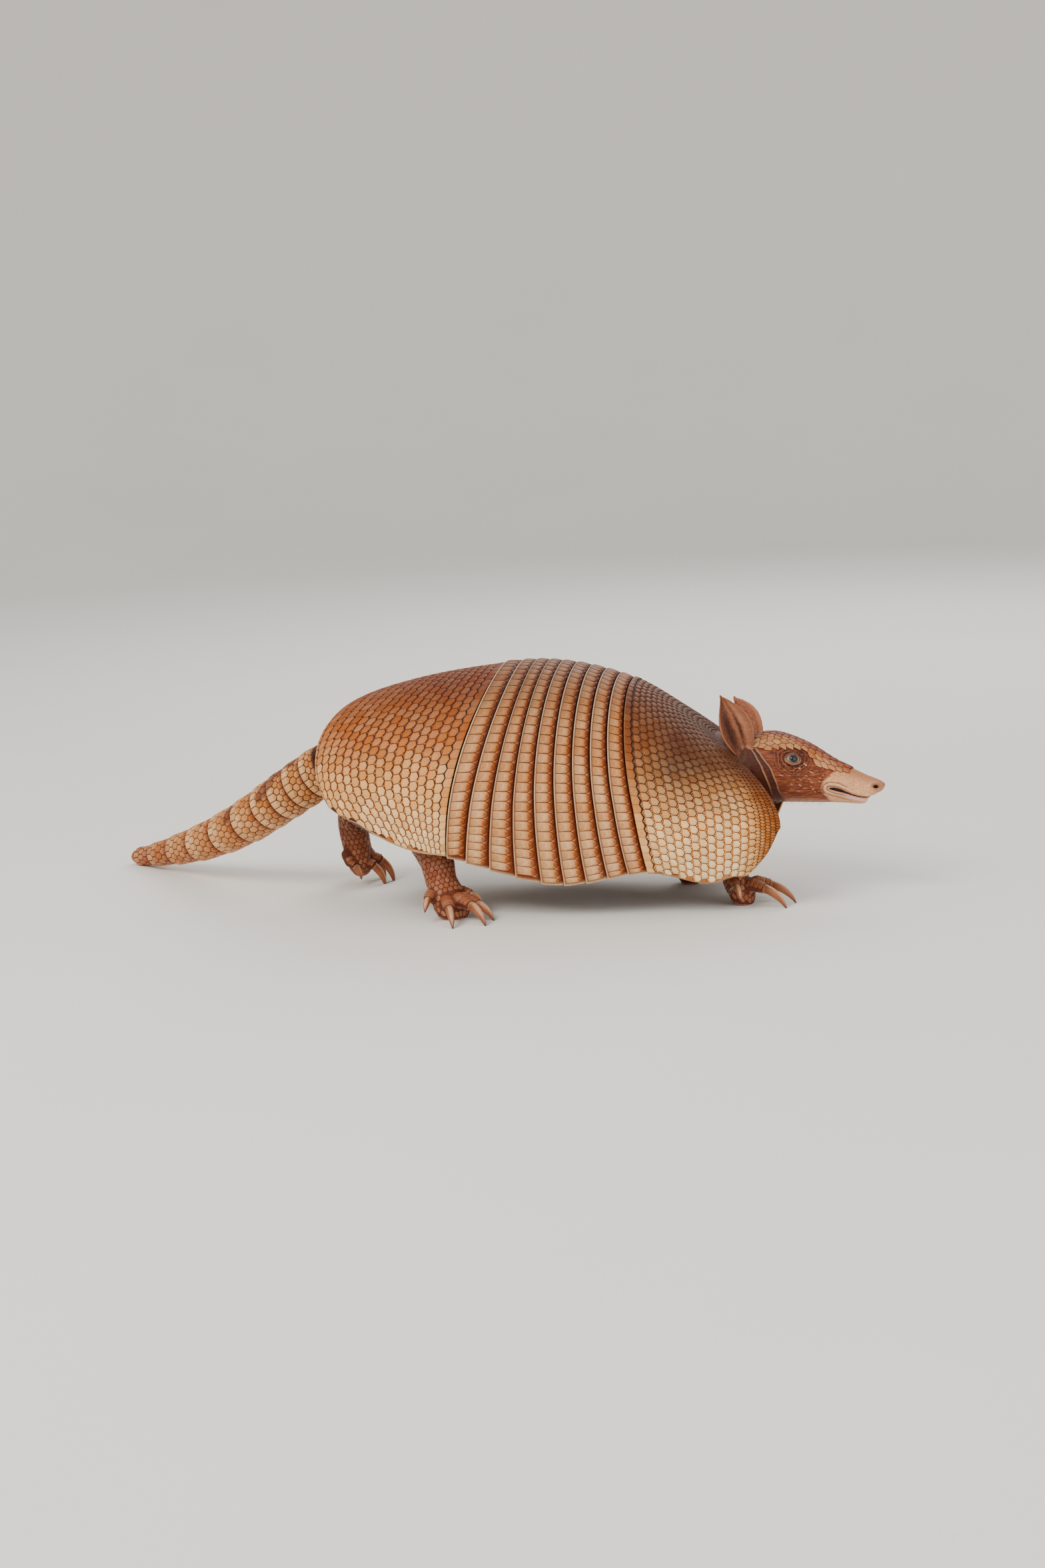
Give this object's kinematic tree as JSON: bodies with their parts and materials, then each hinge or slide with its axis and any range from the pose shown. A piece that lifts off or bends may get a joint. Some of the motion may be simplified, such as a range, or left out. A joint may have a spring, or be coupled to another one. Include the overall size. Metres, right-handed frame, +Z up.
{
  "type": "nine-banded armadillo model",
  "caption": "Life-size still model of a nine-banded armadillo, walking, with shields, movable bands, ringed tail, claws and head.",
  "frame": {"origin": "on the floor, under the middle of the whole outline", "axes": "+X towards the nose, +Y to the animal's left, +Z up"},
  "size_m": [0.6228, 0.2342, 0.1775],
  "materials": {
    "pelvic_scutes": "satin horn",
    "band_scutes": "satin horn",
    "shoulder_scutes": "satin horn",
    "tail_scutes": "satin horn",
    "head_scutes": "satin horn",
    "skin": "matt, wrinkled",
    "claw": "polished horn",
    "eye": "wet gloss"
  },
  "bodies": {
    "root": {"trunk": "skin", "neck": "skin", "head": "skin", "jaw": "skin", "ear_right": "skin", "ear_left": "skin", "hind_right_leg": "skin", "hind_left_leg": "skin", "front_right_leg": "skin", "front_left_leg": "skin", "hind_right_foot": "skin", "hind_left_foot": "skin", "front_right_foot": "skin", "front_left_foot": "skin", "brow_plate": "head_scutes", "eye_right": "eye", "eye_left": "eye", "shoulder_shield": "shoulder_scutes", "pelvic_shield": "pelvic_scutes", "band_1": "band_scutes", "band_2": "band_scutes", "band_3": "band_scutes", "band_4": "band_scutes", "band_5": "band_scutes", "band_6": "band_scutes", "band_7": "band_scutes", "band_8": "band_scutes", "band_9": "band_scutes", "tail_ring_1": "tail_scutes", "tail_ring_2": "tail_scutes", "tail_ring_3": "tail_scutes", "tail_ring_4": "tail_scutes", "tail_ring_5": "tail_scutes", "tail_ring_6": "tail_scutes", "tail_ring_7": "tail_scutes", "tail_ring_8": "tail_scutes", "tail_ring_9": "tail_scutes", "tail_ring_10": "tail_scutes", "tail_tip": "tail_scutes", "hind_right_claw_1": "claw", "hind_right_claw_2": "claw", "hind_right_claw_3": "claw", "hind_right_claw_4": "claw", "hind_right_claw_5": "claw", "hind_left_claw_1": "claw", "hind_left_claw_2": "claw", "hind_left_claw_3": "claw", "hind_left_claw_4": "claw", "hind_left_claw_5": "claw", "front_right_claw_1": "claw", "front_right_claw_2": "claw", "front_right_claw_3": "claw", "front_right_claw_4": "claw", "front_left_claw_1": "claw", "front_left_claw_2": "claw", "front_left_claw_3": "claw", "front_left_claw_4": "claw"}
  },
  "joints": []
}
